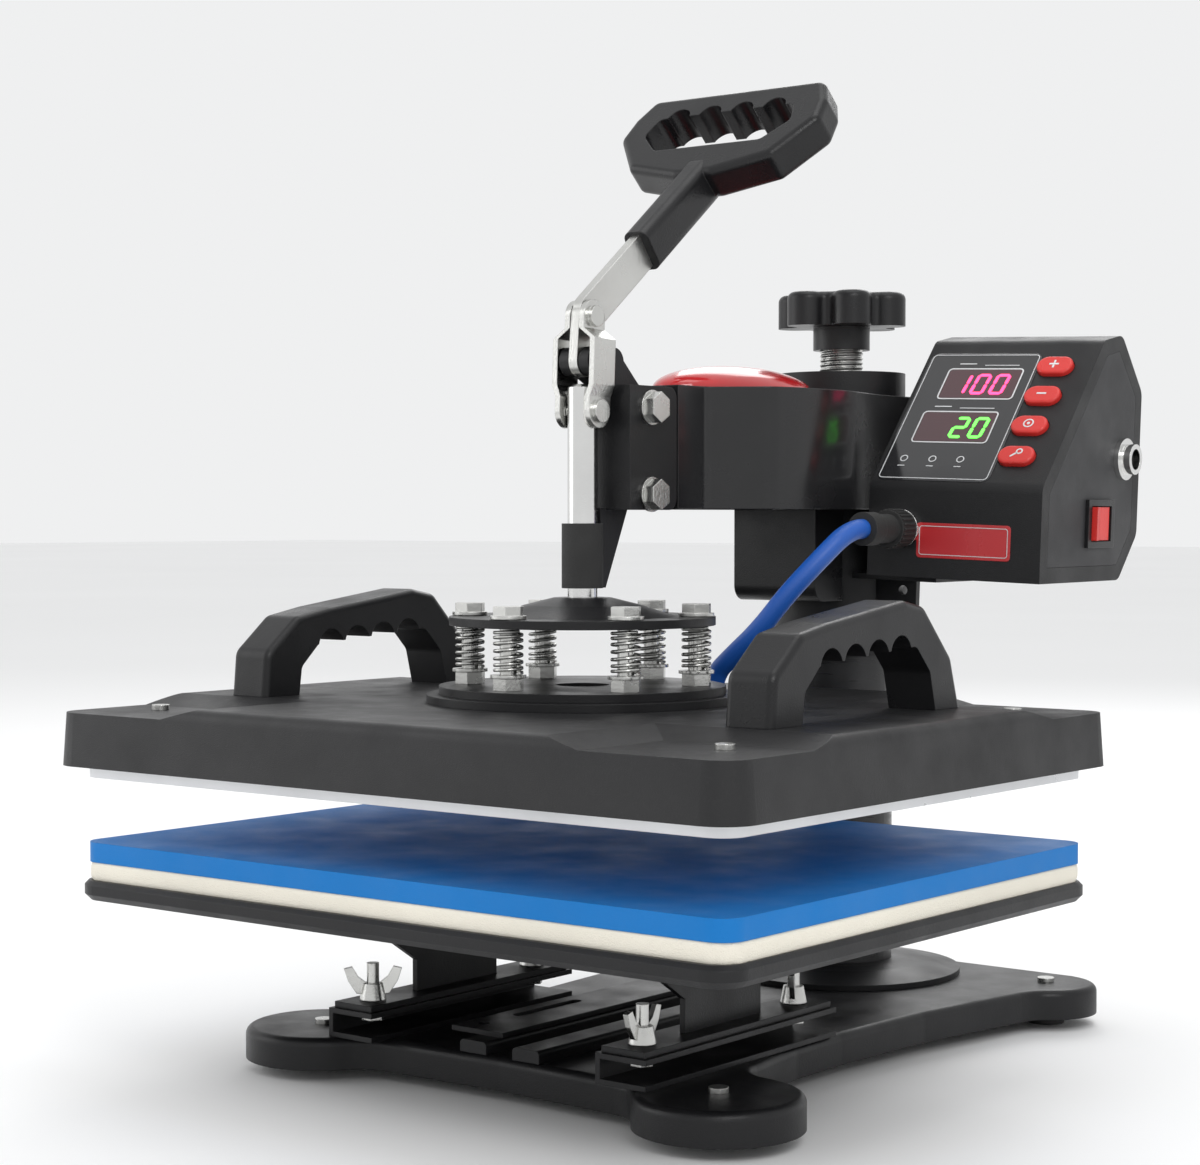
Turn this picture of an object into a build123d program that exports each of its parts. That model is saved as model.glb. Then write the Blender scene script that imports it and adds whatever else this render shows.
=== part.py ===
from build123d import *
import os
from math import atan2, cos, degrees, radians, sin, tan

# Swing-away heat press.  Millimetres, +X right, +Y back, +Z up, Z = 0 at the bench.
# The press rod's axis is X = Y = 0 while the model is being made.  At the end every
# piece moves by the same amount, so that the origin is under the middle of the press.

os.makedirs("parts", exist_ok=True)

# ---- driving dimensions ----
PLATE_W, PLATE_D = 383.0, 297.0        # heating plate, foam and mat
PLATE_CORNER = 11.0
FEET_H = 6.0
BASE_H = 15.5
BASE_WALL = 3.0
RAIL_H = 14.0
RAIL_X, STUD_Y = 82.0, 60.0            # wing studs stand at (+-RAIL_X, +-STUD_Y)
TRAY_TOP = 97.5
TRAY_W, TRAY_D = 387.0, 304.0
FOAM_T, MAT_T = 8.7, 9.6
PRESS_STROKE = 31.0
CLOSED_GAP = 0.3                       # left between mat and plate at full stroke
HEAT_PLATE_T = 12.0
COVER_W, COVER_D = 402.0, 319.0
COVER_DRAFT = 4.0                      # degrees the cover's walls lean in
COVER_BOTTOM, COVER_TOP = 153.0, 183.5
CORNER_DROP = 5.0                      # the cover's corners lie lower than its middle
WALL = 2.5
POST_Y, POST_R = 228.0, 28.5
POST_TOP = 322.0
BUSH_T = 3.0
SLEEVE_R, SLEEVE_BOTTOM, SLEEVE_TOP = 37.5, 197.5, 350.5
ARM_BOTTOM, ARM_TOP = 277.5, 334.5
ARM_HALF_W, ARM_WALL = 15.0, 3.0
ROD_R, ROD_TOP = 7.25, 335.5
FIT = 0.05                             # radial running clearance
GAP = 0.3                              # air between faces of pieces that move apart
LEVER_C = (0.0, 346.5)                 # lever pivot in the arm, as (Y, Z)
LEVER_B = (2.0, 368.0)                 # pin between lever and side links
LINK_A = (0.0, 322.5)                  # pin between side links and press rod
LEVER_LEAN, GRIP_LEAN = 52.0, 42.0     # degrees back from upright
PIN_R = 4.0
BRACKET_BOLT_Y, BRACKET_BOLT_Z = 28.5, (283.0, 325.0)
BOLT_CIRCLE_R, BOLT_COUNT, BOLT_FIRST = 55.0, 6, 30.0
FLOAT_TRAVEL = 6.0                     # how far the platen can rise on its springs
BOX_W, BOX_D, BOX_H = 98.0, 118.0, 129.0
BOX_PLACE = Pos(52.2, 171.9, 241.9) * Rot(0, 2.0, 3.0)
PANEL_FOOT, PANEL_HEAD = (0.0, 48.0), (68.0, 125.0)   # the sloped face, as (Y, Z) in the box
BUTTON_X, BUTTON_S = 77.0, (83.0, 62.0, 41.0, 20.0)   # across, and up the sloped face
BUTTON_L, BUTTON_W = 20.0, 12.0
BUTTON_TRAVEL = 1.2
LEAD_D = 10.0

BASE_TOP = FEET_H + BASE_H
RAIL_TOP = BASE_TOP + RAIL_H
FOAM_TOP = TRAY_TOP + FOAM_T
MAT_TOP = FOAM_TOP + MAT_T
HEAT_BOTTOM = MAT_TOP + PRESS_STROKE + CLOSED_GAP
HEAT_TOP = HEAT_BOTTOM + HEAT_PLATE_T
DISC_TOP = COVER_TOP + 8.0
DOME_RIM_TOP = DISC_TOP + 33.0
DOME_TOP = DOME_RIM_TOP + 9.0
SLOPE = degrees(atan2(PANEL_HEAD[1] - PANEL_FOOT[1], PANEL_HEAD[0] - PANEL_FOOT[0]))

parts = {}


# ---- helpers ----
def block(x, y, z):
    """A box from three (low, high) pairs."""
    size = [high - low for low, high in (x, y, z)]
    middle = [(high + low) / 2 for low, high in (x, y, z)]
    return Pos(*middle) * Box(*size)


def disc(radius, z, at=(0.0, 0.0)):
    """An upright cylinder from z[0] to z[1]."""
    return Pos(at[0], at[1], (z[0] + z[1]) / 2) * Cylinder(radius, z[1] - z[0])


def pin(radius, x, at):
    """A cylinder along X from x[0] to x[1], at = (Y, Z)."""
    return Pos((x[0] + x[1]) / 2, at[0], at[1]) * Rot(0, 90, 0) * Cylinder(radius, x[1] - x[0])


def slab(width, depth, z, corner):
    """A plate with rounded corners, centred on the press axis."""
    return Pos(0, 0, z[0]) * extrude(RectangleRounded(width, depth, corner), z[1] - z[0])


def side_profile(points, x):
    """Extrude a closed outline of (Y, Z) points from X = x[0] to x[1]."""
    face = Plane.YZ.offset(x[0]) * make_face(Polyline(*points, close=True))
    return extrude(face, x[1] - x[0])


def stadium(p, q, width, x):
    """A flat bar with round ends from p to q, both (Y, Z), from X = x[0] to x[1]."""
    run = ((q[0] - p[0]) ** 2 + (q[1] - p[1]) ** 2) ** 0.5
    turn = degrees(atan2(q[1] - p[1], q[0] - p[0]))
    shape = Pos((p[0] + q[0]) / 2, (p[1] + q[1]) / 2) * Rot(0, 0, turn) * SlotCenterToCenter(run, width)
    return extrude(Plane.YZ.offset(x[0]) * shape, x[1] - x[0])


def hexagon(across_flats, z, at=(0.0, 0.0)):
    shape = RegularPolygon(across_flats / 2, 6, major_radius=False)
    return Pos(at[0], at[1], z[0]) * extrude(shape, z[1] - z[0])


def mirrored(shape):
    return mirror(shape, about=Plane.YZ)


def both_sides(shape):
    return [shape, mirrored(shape)]


def ring_places(radius, count, first):
    """(X, Y) of evenly spaced places on a circle."""
    angles = [radians(first + 360.0 / count * k) for k in range(count)]
    return [(radius * cos(a), radius * sin(a)) for a in angles]


def four_places(x, y):
    return [(sx * x, sy * y) for sx in (-1, 1) for sy in (-1, 1)]


def group(shapes):
    return Compound([solid for shape in shapes for solid in shape.solids()])


# ---- base ----
FRONT_FEET, BACK_FEET = (120.0, -55.0), (108.0, 265.0)
FRONT_LOBE_R, BACK_LOBE_R = 38.5, 27.0
BASE_HALF = [(0, -62), (100, -66), (106, -30), (95, 44), (95, 83), (100, 152), (107, 192), (116, 240),
             (112, 292), (0, 292)]
FOOT_PLACES = [(s * x, y) for x, y in (FRONT_FEET, BACK_FEET) for s in (-1, 1)]


def base_outline():
    """A waisted plate with a round lobe at each foot and soft inner corners."""
    points = BASE_HALF + [(-x, y) for x, y in reversed(BASE_HALF[1:-1])]
    outline = make_face(Polyline(*points, close=True))
    for s in (-1, 1):
        outline += Pos(s * FRONT_FEET[0], FRONT_FEET[1]) * Circle(FRONT_LOBE_R)
        outline += Pos(s * BACK_FEET[0], BACK_FEET[1]) * Circle(BACK_LOBE_R)
    outline = offset(offset(outline, 22, kind=Kind.ARC), -22, kind=Kind.ARC)
    return outline


def make_base():
    outline = base_outline()
    plate = Pos(0, 0, FEET_H) * extrude(outline, BASE_H)
    rim = plate.faces().sort_by(Axis.Z)[-1].outer_wire().edges()
    plate = fillet(rim, 4.0)
    hollow = offset(outline, -BASE_WALL, kind=Kind.ARC)
    plate -= Pos(0, 0, FEET_H) * extrude(hollow, BASE_H - BASE_WALL)
    for at in FOOT_PLACES:
        plate += disc(11.0, (FEET_H, BASE_TOP - BASE_WALL), at)
        plate -= disc(2.5 + FIT, (0, BASE_TOP + 1), at)
    plate -= block((-58, -44), (150, 200), (0, BASE_TOP + 1))
    parts["base_plate"] = plate
    parts["rubber_feet"] = group(
        disc(10.0, (0, FEET_H), at) - disc(2.5 + FIT, (3.0, FEET_H), at) for at in FOOT_PLACES)
    parts["foot_screws"] = group(
        disc(2.5, (3.0, BASE_TOP), at) + disc(4.5, (BASE_TOP, BASE_TOP + 2.4), at) for at in FOOT_PLACES)


def make_post():
    profile = [(POST_R, BASE_TOP), (66, BASE_TOP), (66, BASE_TOP + 3), (46, BASE_TOP + 7),
               (36, BASE_TOP + 8), (POST_R, BASE_TOP + 8)]
    face = Plane.XZ * make_face(Polyline(*profile, close=True))
    parts["post_flange"] = Pos(0, POST_Y, 0) * revolve(face, Axis.Z)
    at = (0, POST_Y)
    parts["post"] = disc(POST_R, (BASE_TOP, POST_TOP), at) - disc(POST_R - 4, (BASE_TOP, POST_TOP - 8), at)


def make_rails():
    """C-section rails for the lower table, and a guide bar each side of the middle."""
    low, high = BASE_TOP, RAIL_TOP
    rail = block((-14, 14), (-76, 76), (low, high)) - block((-11.5, 14), (-76, 76), (low + WALL, high - WALL))
    for y in (-STUD_Y, STUD_Y):
        rail -= disc(3.2, (high - WALL - 1, high + 1), (0, y))
    parts["accessory_rails"] = group(Pos(s * RAIL_X, 0, 0) * rail for s in (-1, 1))
    bar = block((8, 24), (-62, 110), (low, low + 6))
    plain = fillet(bar.edges().filter_by(Axis.Y).group_by(Axis.Z)[-1], 2.0)
    slotted = mirrored(plain) + block((-40, -8), (-50, 96), (low + 6, low + 8.5))
    slotted -= disc(3.0, (low + 5, low + 10), (-30, -38))
    slotted -= Pos(-30, 10, low + 7) * extrude(SlotOverall(50, 6, rotation=90), 3)
    parts["guide_bars"] = group([plain, slotted])


def make_table():
    """Lower table: two folded legs, a pan, foam and the silicone mat."""
    under = TRAY_TOP - WALL
    foot = block((-12, 12), (-74, 74), (RAIL_TOP, RAIL_TOP + 3))
    for y in (-STUD_Y, STUD_Y):
        foot -= disc(3.2, (RAIL_TOP - 1, RAIL_TOP + 4), (0, y))
    web = side_profile([(-30, RAIL_TOP + 3), (30, RAIL_TOP + 3), (30, 54), (62, 70), (62, under),
                        (-52, under), (-52, 68), (-30, 54)], (-1.5, 1.5))
    head = block((-14, 14), (-52, 62), (under - 3, under))
    leg = foot + web + head
    parts["table_legs"] = group(Pos(s * RAIL_X, 0, 0) * leg for s in (-1, 1))
    tray = slab(TRAY_W, TRAY_D, (TRAY_TOP - 9.5, TRAY_TOP), 14)
    tray = chamfer(tray.faces().sort_by(Axis.Z)[-1].edges(), 2.0)
    tray = chamfer(tray.faces().sort_by(Axis.Z)[0].edges(), 3.0)
    tray -= slab(TRAY_W - 14, TRAY_D - 14, (TRAY_TOP - 10, under), 9)
    parts["table_tray"] = tray
    parts["foam_pad"] = slab(PLATE_W, PLATE_D, (TRAY_TOP, FOAM_TOP), PLATE_CORNER)
    parts["silicone_mat"] = slab(PLATE_W, PLATE_D, (FOAM_TOP, MAT_TOP), PLATE_CORNER)


def make_wing_nut():
    """A hexagonal hub on the clamping stud with two upswept wings."""
    z = RAIL_TOP + 3 + GAP
    hub = Pos(0, 0, z) * Cone(6.5, 4.8, 8, align=(Align.CENTER, Align.CENTER, Align.MIN))
    wing = [(3, z + 2), (8, z + 3), (12, z + 9), (14, z + 15), (10, z + 16), (7, z + 11), (3, z + 8)]
    plate = extrude(Plane.XZ.offset(-1.25) * make_face(Polyline(*wing, close=True)), 2.5)
    nut = hub + plate + mirrored(plate)
    return nut - disc(3.0 + FIT, (z - 1, z + 20))


def make_clamps():
    low = RAIL_TOP - WALL
    studs = []
    for number, (x, y) in enumerate(four_places(RAIL_X, STUD_Y), start=1):
        studs.append(hexagon(10, (low - 4, low), (x, y)) + disc(3.0, (low, RAIL_TOP + 21), (x, y)))
        turn = 20 + 25 * number
        parts[f"wing_nut_{number}"] = Pos(x, y, 0) * Rot(0, 0, turn) * make_wing_nut()
    parts["wing_studs"] = group(studs)


# ---- arm and its bearing ----
def make_bearing():
    at = (0, POST_Y)
    outer = POST_R + BUSH_T
    bush = disc(outer, (205, POST_TOP + 10), at) - disc(POST_R + FIT, (205, POST_TOP + GAP), at)
    parts["swing_bush"] = bush
    screw_bottom = POST_TOP + 10 + GAP
    screw = disc(12.0, (screw_bottom, 366), at)
    parts["pressure_screw"] = chamfer(screw.edges().sort_by(Axis.Z)[0], 1.0)
    knob = Circle(24.5)
    for x, y in ring_places(25.5, 6, 15):
        knob += Pos(x, y) * Circle(10.5)
    knob = offset(offset(knob, 4, kind=Kind.ARC), -4, kind=Kind.ARC)
    head = Pos(0, POST_Y, 376) * extrude(knob, 18.5)
    head = fillet(head.faces().sort_by(Axis.Z)[-1].edges(), 4.0)
    head = head + disc(15.5, (363.5, 377), at) - disc(12.0, (363, 366), at)
    parts["pressure_knob"] = head


def make_arm_frame():
    at = (0, POST_Y)
    tube = block((-ARM_HALF_W, ARM_HALF_W), (18, POST_Y), (ARM_BOTTOM, ARM_TOP))
    sleeve = disc(SLEEVE_R, (SLEEVE_BOTTOM, ARM_TOP + 1), at) + disc(35.0, (ARM_TOP, SLEEVE_TOP), at)
    frame = tube + sleeve
    hollow_x = (-ARM_HALF_W + ARM_WALL, ARM_HALF_W - ARM_WALL)
    frame -= block(hollow_x, (17, POST_Y - SLEEVE_R - 4), (ARM_BOTTOM + ARM_WALL, ARM_TOP - ARM_WALL))
    frame -= disc(POST_R + BUSH_T + FIT, (SLEEVE_BOTTOM - 1, 340), at)
    frame -= disc(12.0 + FIT, (339, SLEEVE_TOP + 1), at)
    for z in BRACKET_BOLT_Z:
        frame -= pin(4.0 + FIT, (-30, 30), (BRACKET_BOLT_Y, z))
    parts["arm_frame"] = frame


COWL_HALF = [(18.5, 52), (18.5, 76), (46, 94), (58, 134), (43, 196), (42, POST_Y)]
COWL_BENDS = [5, 12, 115, 190]
DOME_RADII = (27.0, 61.0, 13.0)


def cowl_outline(grow):
    """The closed outline of the arm's cowl in plan, pulled in by -grow."""
    path = FilletPolyline(*COWL_HALF, radius=COWL_BENDS)
    path += ThreePointArc((42, POST_Y), (29.7, POST_Y + 29.7), (0, POST_Y + 42))
    path += Polyline((0, POST_Y + 42), (0, 52), (18.5, 52))
    half = make_face(path.edges())
    outline = half + mirror(half, about=Plane.YZ)
    if grow:
        outline = offset(outline, grow, kind=Kind.ARC)
    return outline


def make_cowl():
    """Two moulded halves round the arm tube, a skirt under them and a dome on top."""
    low, high = ARM_BOTTOM - 1.5, ARM_TOP + 2.5
    outer = Pos(0, 0, low) * extrude(cowl_outline(0), high - low)
    inner = Pos(0, 0, low - 1) * extrude(cowl_outline(-WALL), high - WALL - low + 1)
    cowl = outer - inner
    cowl -= block((-15.2, 15.2), (50, 60), (low - 1, ARM_TOP + 0.2))
    cowl -= disc(SLEEVE_R + 0.5, (low - 1, high + 1), (0, POST_Y))
    parts["arm_cowl_left"] = cowl & block((-100, -0.1), (0, 300), (200, 400))
    parts["arm_cowl_right"] = cowl & block((0.1, 100), (0, 300), (200, 400))
    dome = scale(Sphere(1.0), by=DOME_RADII) & block((-100, 100), (-100, 100), (0, 100))
    parts["arm_dome"] = Pos(0, 126, high) * dome
    skirt = block((-26, 26), (163, 189), (227.5, low)) - disc(SLEEVE_R + 0.5, (200, 300), (0, POST_Y))
    edges = skirt.edges().filter_by(Axis.X).group_by(Axis.Z)[0].sort_by(Axis.Y)
    skirt = fillet(edges[0], 8.0)
    skirt -= block((-23, 23), (166, 200), (230.5, low + 1))
    parts["arm_skirt"] = skirt


def make_bracket():
    """The plate that carries the guide bushing, and the fork that the lever turns in."""
    out = ARM_HALF_W + 4.2
    inner = ARM_HALF_W + 0.2
    low, high = ARM_BOTTOM - 2, ARM_TOP + 1
    bracket = block((-out, out), (12.5, 17.5), (low, high))
    ear = side_profile([(12.5, low), (50, low), (50, high), (12.5, high)], (inner, out))
    ear = fillet(ear.edges().filter_by(Axis.X).group_by(Axis.Y)[-1], 6.0)
    bracket += ear + mirrored(ear)
    strut = [(6, 238), (13, 238), (30, low), (17, low + 1), (9, low + 1), (9, 269), (6, 269)]
    bracket += side_profile(strut, (-4, 4))
    fork = stadium(LEVER_C, (14, LEVER_C[1]), 14, (3.0, 8.8))
    cheek = [(6, 339.5), (16, high - 1), (34, high), (30, 339), (15, 353), (6, 353.5)]
    fork += side_profile(cheek, (3.0, 8.8))
    fork += block((0, 8.8), (12.5, 17.5), (high - 1, 350))
    bracket += fork + mirrored(fork)
    bracket -= disc(10.0, (200, 269), (0, 0))
    bracket -= pin(PIN_R + FIT, (-30, 30), LEVER_C)
    for z in BRACKET_BOLT_Z:
        bracket -= pin(4.0 + FIT, (-40, 40), (BRACKET_BOLT_Y, z))
    parts["lever_bracket"] = bracket
    parts["guide_bushing"] = disc(10.0, (238, 269)) - disc(ROD_R + FIT, (230, 280))
    parts["pivot_pin"] = pin(PIN_R, (-9.3, 9.3), LEVER_C)
    bolts = []
    for z in BRACKET_BOLT_Z:
        head = Rot(0, 90, 0) * hexagon(13, (out, out + 7.0)) + pin(8.5, (out, out + 1.6), (0, 0))
        shank = pin(4.0, (-out - 5, out), (0, 0))
        nut = Rot(0, 90, 0) * hexagon(13, (-out - 7.0, -out)) + pin(8.5, (-out - 1.6, -out), (0, 0))
        bolts.append(Pos(0, BRACKET_BOLT_Y, z) * (head + shank + nut))
    parts["bracket_bolts"] = group(bolts)


# ---- lever and toggle ----
def along(start, lean, length):
    """The (Y, Z) point at a distance from start, leaning back by an angle."""
    return (start[0] + length * sin(radians(lean)), start[1] + length * cos(radians(lean)))


SLEEVE_FOOT = along(LEVER_B, LEVER_LEAN, 57)
GRIP_FOOT = along(LEVER_B, LEVER_LEAN, 117)
GRIP_OUTER_HALF = [(11, -1), (44, 8), (62, 33), (60, 48), (53, 63)]
GRIP_INNER_HALF = [(33, 20), (46, 33), (42, 46)]
GRIP_T = 19.0
SCALLOP_X = (-30.0, -10.0, 10.0, 30.0)


def grip_ring(half, corner, thickness):
    """A prism on the tilted plane of the hand grip, from the (across, along) points of its right half."""
    left = [(-across, up) for across, up in reversed(half)]
    face = make_face(Polyline(*half, *left, close=True))
    solid = extrude(face, thickness / 2, both=True)
    return fillet(solid.edges().filter_by(Axis.Z), corner)


def make_lever():
    bar = stadium(LEVER_C, LEVER_B, 15, (-2.5, 2.5))
    bar += stadium(along(LEVER_B, LEVER_LEAN, 3), along(LEVER_B, LEVER_LEAN, 85), 18, (-2.5, 2.5))
    bar -= pin(PIN_R + FIT, (-5, 5), LEVER_C)
    bar -= pin(3.5 + FIT, (-5, 5), LEVER_B)
    parts["lever_bar"] = bar
    parts["lever_rivet"] = pin(3.5, (-2.6, 2.6), LEVER_B)

    ring = grip_ring(GRIP_OUTER_HALF, 6.0, GRIP_T)
    ring = fillet(ring.faces().filter_by(Axis.Z).edges(), 4.0)
    ring -= grip_ring(GRIP_INNER_HALF, 5.0, GRIP_T + 4)
    for x in SCALLOP_X:
        ring -= Pos(x, 45, 0) * Cylinder(7.0, GRIP_T + 4)
    tilt = Pos(0, *GRIP_FOOT) * Rot(90 - GRIP_LEAN, 0, 0)
    ring = tilt * ring
    foot = Pos(0, *SLEEVE_FOOT) * Rot(-LEVER_LEAN, 0, 0)
    sleeve = foot * extrude(RectangleRounded(15, 22, 5), 66)
    grip = ring + sleeve
    parts["lever_grip"] = grip - parts["lever_bar"]


LINK_LENGTH = ((LEVER_B[0] - LINK_A[0]) ** 2 + (LEVER_B[1] - LINK_A[1]) ** 2) ** 0.5
LINK_LEAN = degrees(atan2(LEVER_B[0] - LINK_A[0], LEVER_B[1] - LINK_A[1]))
LINK_T = 3.0


def make_links():
    """Two bowed links with rivet heads: near the lever on top, round the fork, beside the rod below."""
    stations = [(-10, 7.6), (7, 7.6), (12.5, 9.8), (34.5, 9.8), (39.5, 2.8), (LINK_LENGTH + 10, 2.8)]
    inner = [(x, u) for u, x in stations]
    outer = [(x + LINK_T, u) for u, x in reversed(stations)]
    strip = extrude(Plane.XZ * make_face(Polyline(*inner, *outer, close=True)), 10, both=True)
    link = strip & stadium((0, 0), (0, LINK_LENGTH), 16, (0, 20))
    link += pin(5.5, (7.6 + LINK_T, 12.6), (0, 0)) + pin(5.0, (2.8 + LINK_T, 8.0), (0, LINK_LENGTH))
    place = Pos(0, *LINK_A) * Rot(-LINK_LEAN, 0, 0)
    parts["side_links"] = group(place * piece for piece in both_sides(link))


# ---- press rod, spring pack and platen ----
def make_ram():
    rod = disc(ROD_R, (DOME_TOP - 10, ROD_TOP))
    rod = chamfer(rod.edges().sort_by(Axis.Z)[-1], 1.5)
    rod -= pin(3.5 + FIT, (-20, 20), LINK_A)
    parts["press_rod"] = rod
    parts["cross_pin"] = pin(3.5, (-7.3, 7.3), LINK_A)
    hub, rim = DOME_TOP, DOME_RIM_TOP
    top = [(ROD_R, hub), (14, hub), (28, hub - 3.5), (45, rim), (64, rim)]
    bottom = [(64, rim - 4), (44, rim - 4), (28, rim), (ROD_R, rim + 1)]
    face = Plane.XZ * make_face(Polyline(*top, *bottom, close=True))
    dome = revolve(face, Axis.Z)
    for at in ring_places(BOLT_CIRCLE_R, BOLT_COUNT, BOLT_FIRST):
        dome -= disc(PIN_R + FIT, (rim - 10, rim + 10), at)
    parts["domed_plate"] = dome


SPRING_LOW, SPRING_HIGH = DISC_TOP + 7.5, DOME_RIM_TOP - 4 - GAP
SPRING_R, SPRING_WIRE, SPRING_TURNS = 6.5, 2.0, 6


def make_spring_pack():
    bolts = []
    for at in ring_places(BOLT_CIRCLE_R, BOLT_COUNT, BOLT_FIRST):
        head = DOME_RIM_TOP + GAP
        bolt = disc(PIN_R, (COVER_TOP + 0.5, head + 5), at) + disc(8.5, (head, head + 1.6), at)
        bolt += hexagon(13, (head + 1.6, head + 6), at)
        bolt += hexagon(13, (DISC_TOP, DISC_TOP + 6), at) + disc(8.5, (DISC_TOP + 6, SPRING_LOW), at)
        bolts.append(bolt)
    parts["spring_bolts"] = group(bolts)

    height = SPRING_HIGH - SPRING_LOW - SPRING_WIRE
    path = Helix(height / SPRING_TURNS, height, SPRING_R)
    wire = Plane(origin=path @ 0, z_dir=path % 0) * Circle(SPRING_WIRE / 2)
    coil = sweep(wire, path, is_frenet=True)
    low = SPRING_LOW + SPRING_WIRE / 2
    parts["pressure_springs"] = group(
        Pos(x, y, low) * coil for x, y in ring_places(BOLT_CIRCLE_R, BOLT_COUNT, BOLT_FIRST))

    lower = disc(75, (COVER_TOP, COVER_TOP + 4))
    upper = disc(69, (COVER_TOP + 4, DISC_TOP)) - disc(13, (COVER_TOP + 4, DISC_TOP + 1))
    for at in ring_places(BOLT_CIRCLE_R, BOLT_COUNT, BOLT_FIRST):
        lower -= disc(PIN_R + FIT, (COVER_TOP - 1, DISC_TOP), at)
        upper -= disc(PIN_R + FIT, (COVER_TOP, DISC_TOP + 1), at)
    parts["spring_disc_lower"] = lower
    parts["spring_disc_upper"] = upper


COVER_SCREW = (168.0, 118.0)
LEAD_ENTRY = (15.0, 86.0)


def corner_step(inset, z):
    """What is cut away above one corner of the cover: a low step with a long slope."""
    x0, y0 = 124 + inset, 100 + inset
    slope = 20
    low = Plane.XY.offset(z) * Pos(x0 + 60, y0 + 50) * Rectangle(120, 100)
    wide_x, wide_y = 120 + slope, 100 + slope
    high = Pos(x0 - slope + wide_x / 2, y0 - slope + wide_y / 2, z + CORNER_DROP) * Rectangle(wide_x, wide_y)
    return loft([low, high]) + block((x0 - slope, 260), (y0 - slope, 220), (z + CORNER_DROP, z + 20))


def make_platen():
    step_z = COVER_TOP - CORNER_DROP
    height = COVER_TOP - COVER_BOTTOM
    outline = RectangleRounded(COVER_W, COVER_D, 16)
    outer = Pos(0, 0, COVER_BOTTOM) * extrude(outline, height, taper=COVER_DRAFT)
    outer = fillet(outer.faces().sort_by(Axis.Z)[-1].edges(), 6.0)
    hollow = RectangleRounded(COVER_W - 2 * WALL, COVER_D - 2 * WALL, 14)
    inner = Pos(0, 0, COVER_BOTTOM) * extrude(hollow, height - WALL, taper=COVER_DRAFT)
    for quarter in (0, 1, 2, 3):
        cut_out, cut_in = corner_step(0, step_z), corner_step(-WALL, step_z - WALL)
        if quarter in (1, 3):
            cut_out, cut_in = mirrored(cut_out), mirrored(cut_in)
        if quarter in (2, 3):
            cut_out, cut_in = mirror(cut_out, about=Plane.XZ), mirror(cut_in, about=Plane.XZ)
        outer -= cut_out
        inner -= cut_in
    cover = outer - inner
    for at in four_places(*COVER_SCREW):
        cover -= disc(2.0 + FIT, (COVER_BOTTOM, COVER_TOP), at)
    cover -= disc(LEAD_D / 2 + 3.5, (COVER_TOP - 5, COVER_TOP + 1), LEAD_ENTRY)
    parts["platen_cover"] = cover
    plate = slab(PLATE_W, PLATE_D, (HEAT_BOTTOM, HEAT_TOP), PLATE_CORNER)
    board = slab(PLATE_W - 10, PLATE_D - 10, (HEAT_TOP, HEAT_TOP + 4), PLATE_CORNER)
    for at in four_places(*COVER_SCREW):
        plate -= disc(2.0 + FIT, (HEAT_TOP - 5, HEAT_TOP + 1), at)
        board -= disc(2.0 + FIT, (HEAT_TOP - 1, HEAT_TOP + 5), at)
    parts["heating_plate"] = plate
    parts["insulation_board"] = board
    parts["cover_screws"] = group(
        disc(2.0, (HEAT_TOP - 5, step_z), at) + disc(4.2, (step_z, step_z + 2.6), at)
        for at in four_places(*COVER_SCREW))


HANDLE_X, HANDLE_HALF_W = 150.0, 12.5
HANDLE_OUTER = [(-77, 0), (-75, 22), (-54, 39), (-32, 43), (31, 51), (47, 48), (71, 24), (79, 0)]
HANDLE_INNER = [(-54, 0), (-52, 14), (-40, 25), (39, 30), (51, 18), (56, 0)]
HANDLE_SCALLOPS = (-31.0, -12.0, 7.0, 26.0)


def make_side_handle():
    """A bridge handle with a scalloped underside, standing on the cover."""
    outer = [(y, COVER_TOP + z) for y, z in HANDLE_OUTER]
    inner = [(y, COVER_TOP + z) for y, z in HANDLE_INNER]
    inner = [(inner[0][0], COVER_TOP - 1)] + inner[1:-1] + [(inner[-1][0], COVER_TOP - 1)]
    width = (-HANDLE_HALF_W, HANDLE_HALF_W)
    body = side_profile(outer, width)
    corners = body.edges().filter_by(Axis.X).filter_by(lambda e: e.center().Z > COVER_TOP + 1)
    body = fillet(corners, 7.0)
    tops = body.faces().filter_by(Axis.X).edges().filter_by(lambda e: e.center().Z > COVER_TOP + 2)
    body = fillet(tops, 3.5)
    cut = side_profile(inner, (-20, 20))
    cut = fillet(cut.edges().filter_by(Axis.X).filter_by(lambda e: e.center().Z > COVER_TOP + 1), 5.0)
    body -= cut
    for y in HANDLE_SCALLOPS:
        body -= pin(9.0, (-20, 20), (y, COVER_TOP + 22 + 0.06 * (y + 50)))
    return body


def make_handles():
    body = make_side_handle()
    parts["side_handle_left"] = Pos(-HANDLE_X, 0, 0) * body
    parts["side_handle_right"] = Pos(HANDLE_X, 0, 0) * body


# ---- control box, in its own frame: X across, Y back, Z up from the front left bottom edge ----
def box_outline(inset):
    points = [(0, 0), PANEL_FOOT, PANEL_HEAD, (90, BOX_H), (BOX_D, 100), (BOX_D, 24), (96, 0)]
    face = make_face(Polyline(*points, close=True))
    all_but_front_foot = face.vertices().sort_by_distance((0, 0, 0))[1:]
    face = fillet(all_but_front_foot, 8.0)
    if inset:
        face = offset(face, -inset, kind=Kind.ARC)
    return face


def box_prism(inset, x):
    return extrude(Plane.YZ.offset(x[0]) * box_outline(inset), x[1] - x[0])


def panel_place(x, s, lift=0.0):
    """A place on the sloped face: across, up the slope, and out of it."""
    y = PANEL_FOOT[0] + s * cos(radians(SLOPE))
    z = PANEL_FOOT[1] + s * sin(radians(SLOPE))
    return Pos(x, y, z) * Rot(SLOPE, 0, 0) * Pos(0, 0, lift)


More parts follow.
